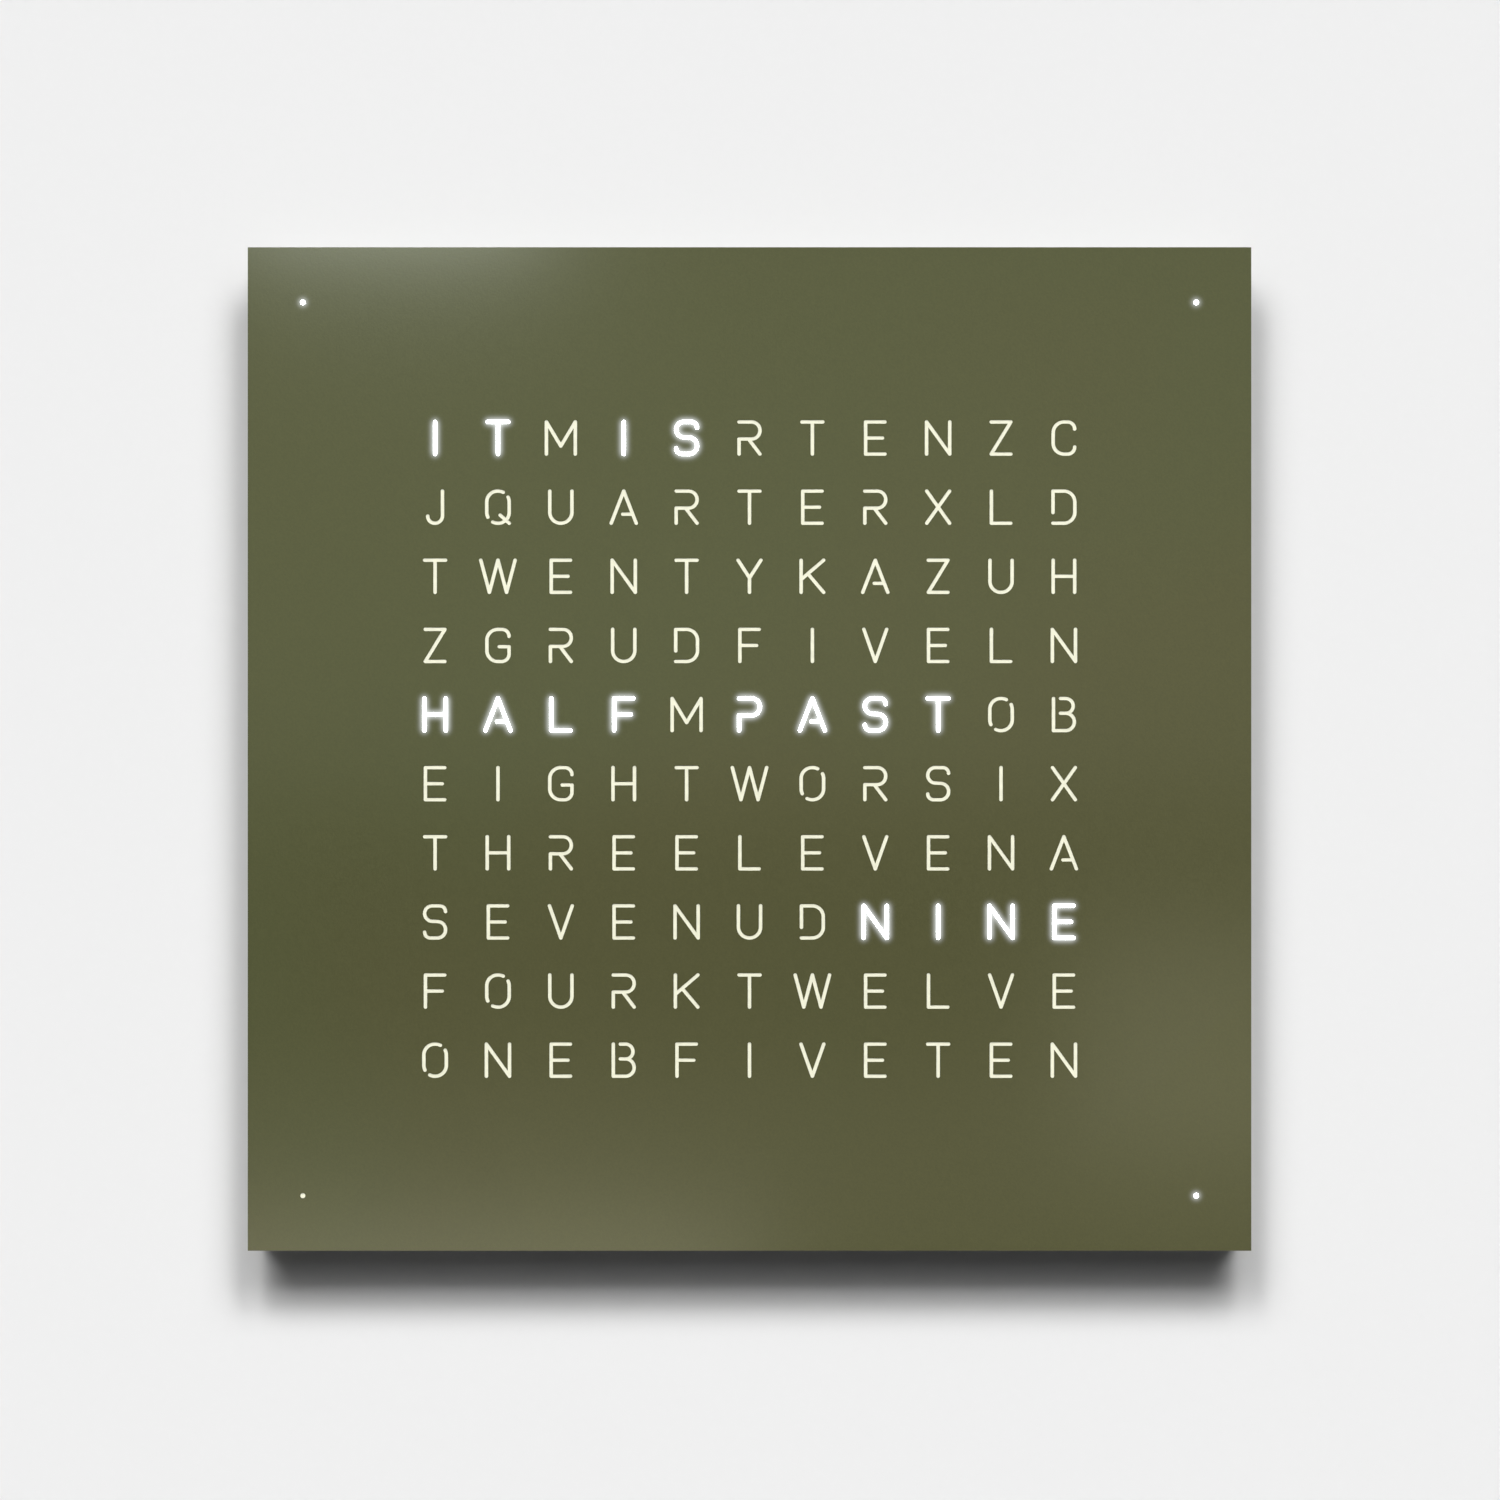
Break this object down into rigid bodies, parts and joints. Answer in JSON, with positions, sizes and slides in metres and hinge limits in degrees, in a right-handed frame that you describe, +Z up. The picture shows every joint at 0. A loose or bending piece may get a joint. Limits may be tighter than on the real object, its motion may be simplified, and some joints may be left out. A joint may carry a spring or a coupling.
{
  "type": "word clock",
  "caption": "Square wall clock that spells the time: a stencilled steel face with lit letters on a shallow lacquered case, hung on a steel wall bracket.",
  "frame": {"origin": "middle of the wall bracket's back face, on the wall plane and on the clock's centre lines", "axes": "+Z up, +X to the right as seen from the front, and the face looks along -Y away from the wall"},
  "size_m": [0.45, 0.022, 0.45],
  "materials": {
    "face_coat": "fine textured matte powder coat",
    "case_lacquer": "satin lacquer",
    "back_coat": "fine matte powder coat",
    "letter_resin": "cast translucent resin, unlit",
    "lit_resin": "cast translucent resin, lit from behind",
    "diffuser": "opal sheet",
    "grid_plastic": "moulded white",
    "circuit_board": "white solder mask",
    "control_board": "green solder mask",
    "chip_body": "moulded epoxy",
    "led_body": "phosphor in a white cup",
    "connector_plastic": "moulded nylon",
    "zinc_steel": "bright zinc plate",
    "nickel": "nickel plate",
    "brass": "machined",
    "ferrite": "sintered ferrite, matte",
    "copper_wire": "enamelled winding",
    "black_plastic": "moulded, satin",
    "wire_sleeve": "flexible sleeve",
    "ribbon_sleeve": "grey flat cable",
    "pad_rubber": "clear soft rubber",
    "foam": "closed-cell foam",
    "sleeve_can": "satin can"
  },
  "bodies": {
    "bracket": {"wall_bracket": "zinc_steel"},
    "clock": {"housing_frame": "case_lacquer", "back_plate": "back_coat", "back_screws": "zinc_steel", "wall_pads": "pad_rubber", "cover_magnets": "nickel", "led_board_upper": "circuit_board", "led_board_lower": "circuit_board", "matrix_leds": "led_body", "light_grid": "grid_plastic", "board_standoffs": "brass", "board_screws": "zinc_steel", "board_link_headers": "connector_plastic", "board_link_ribbons": "ribbon_sleeve", "light_sensor": "chip_body", "corner_board_pads": "foam", "corner_led_boards": "circuit_board", "corner_leds": "led_body", "corner_light_tubes": "grid_plastic", "controller_board": "control_board", "controller_standoffs": "brass", "controller_screws": "zinc_steel", "microcontroller": "chip_body", "driver_chips": "chip_body", "capacitors": "sleeve_can", "power_coil": "chip_body", "coin_cell_holder": "black_plastic", "coin_cell": "nickel", "ribbon_headers": "connector_plastic", "ribbon_cable": "ribbon_sleeve", "antenna_rod": "ferrite", "antenna_coil": "copper_wire", "antenna_clips": "connector_plastic", "antenna_header": "connector_plastic", "antenna_lead": "wire_sleeve", "corner_wires": "wire_sleeve", "wire_clips": "connector_plastic", "power_wire": "wire_sleeve", "dc_socket": "black_plastic", "dc_socket_nut": "nickel", "dc_socket_pin": "nickel", "button_board": "control_board", "button_board_screws": "zinc_steel", "tact_switches": "chip_body"},
    "front_cover": {"front_plate": "face_coat", "diffuser_sheet": "diffuser", "letter_inlays": "letter_resin", "lit_letter_inlays": "lit_resin", "unlit_dot_inlay": "letter_resin", "lit_dot_inlays": "lit_resin", "locating_studs": "zinc_steel"},
    "button_mode": {"button_mode": "black_plastic"},
    "button_brightness": {"button_brightness": "black_plastic"},
    "button_hour": {"button_hour": "black_plastic"},
    "button_minute": {"button_minute": "black_plastic"}
  },
  "joints": [
    {"name": "clock_lift", "type": "slide", "parent": "bracket", "child": "clock", "axis": [0, 0, 1], "range_m": [0, 0.012]},
    {"name": "cover_pull", "type": "slide", "parent": "clock", "child": "front_cover", "axis": [0, -1, 0], "range_m": [0, 0.06]},
    {"name": "press_mode", "type": "slide", "parent": "clock", "child": "button_mode", "axis": [0, 0, 1], "range_m": [0, 0.0008], "stiffness_N_per_m": 800, "springref_m": -0.001},
    {"name": "press_brightness", "type": "slide", "parent": "clock", "child": "button_brightness", "axis": [0, 0, 1], "range_m": [0, 0.0008], "stiffness_N_per_m": 800, "springref_m": -0.001},
    {"name": "press_hour", "type": "slide", "parent": "clock", "child": "button_hour", "axis": [0, 0, 1], "range_m": [0, 0.0008], "stiffness_N_per_m": 800, "springref_m": -0.001},
    {"name": "press_minute", "type": "slide", "parent": "clock", "child": "button_minute", "axis": [0, 0, 1], "range_m": [0, 0.0008], "stiffness_N_per_m": 800, "springref_m": -0.001}
  ]
}
